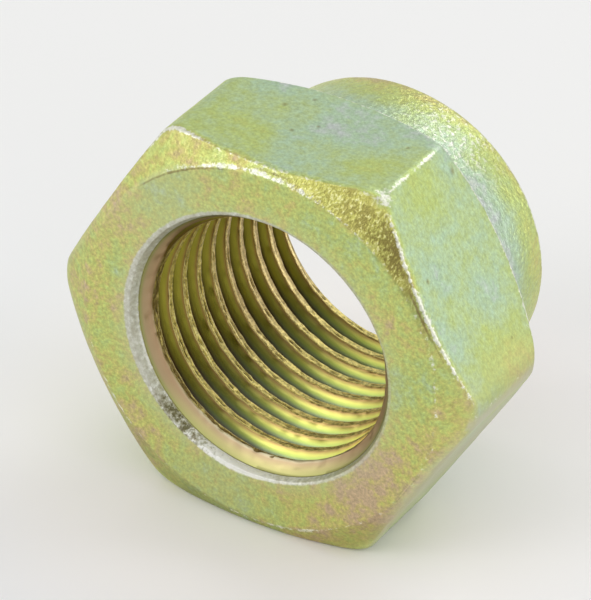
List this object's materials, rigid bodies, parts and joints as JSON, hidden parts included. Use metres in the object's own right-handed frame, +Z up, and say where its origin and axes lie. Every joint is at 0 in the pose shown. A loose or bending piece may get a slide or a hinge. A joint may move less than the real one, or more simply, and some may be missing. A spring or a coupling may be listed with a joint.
{
  "type": "collared hex nut",
  "caption": "Steel hexagon nut with a chamfered front face and a round collar behind it, threaded right through.",
  "frame": {"origin": "on the ground below the middle of the nut: centre of the bounding box in X and Y, its bottom in Z", "axes": "+Y along the nut's axis, from the chamfered front face to the collar's end; +Z up, square to the flat it lies on; +X across two corners of the hexagon"},
  "size_m": [0.0262, 0.0154, 0.0233],
  "materials": {
    "zinc_yellow": "forged steel with tumbled, yellow-passivated zinc plating: satin yellow-green with faint green, pink and grey bands, bright worn edges"
  },
  "bodies": {
    "root": {"nut": "zinc_yellow"}
  },
  "joints": []
}
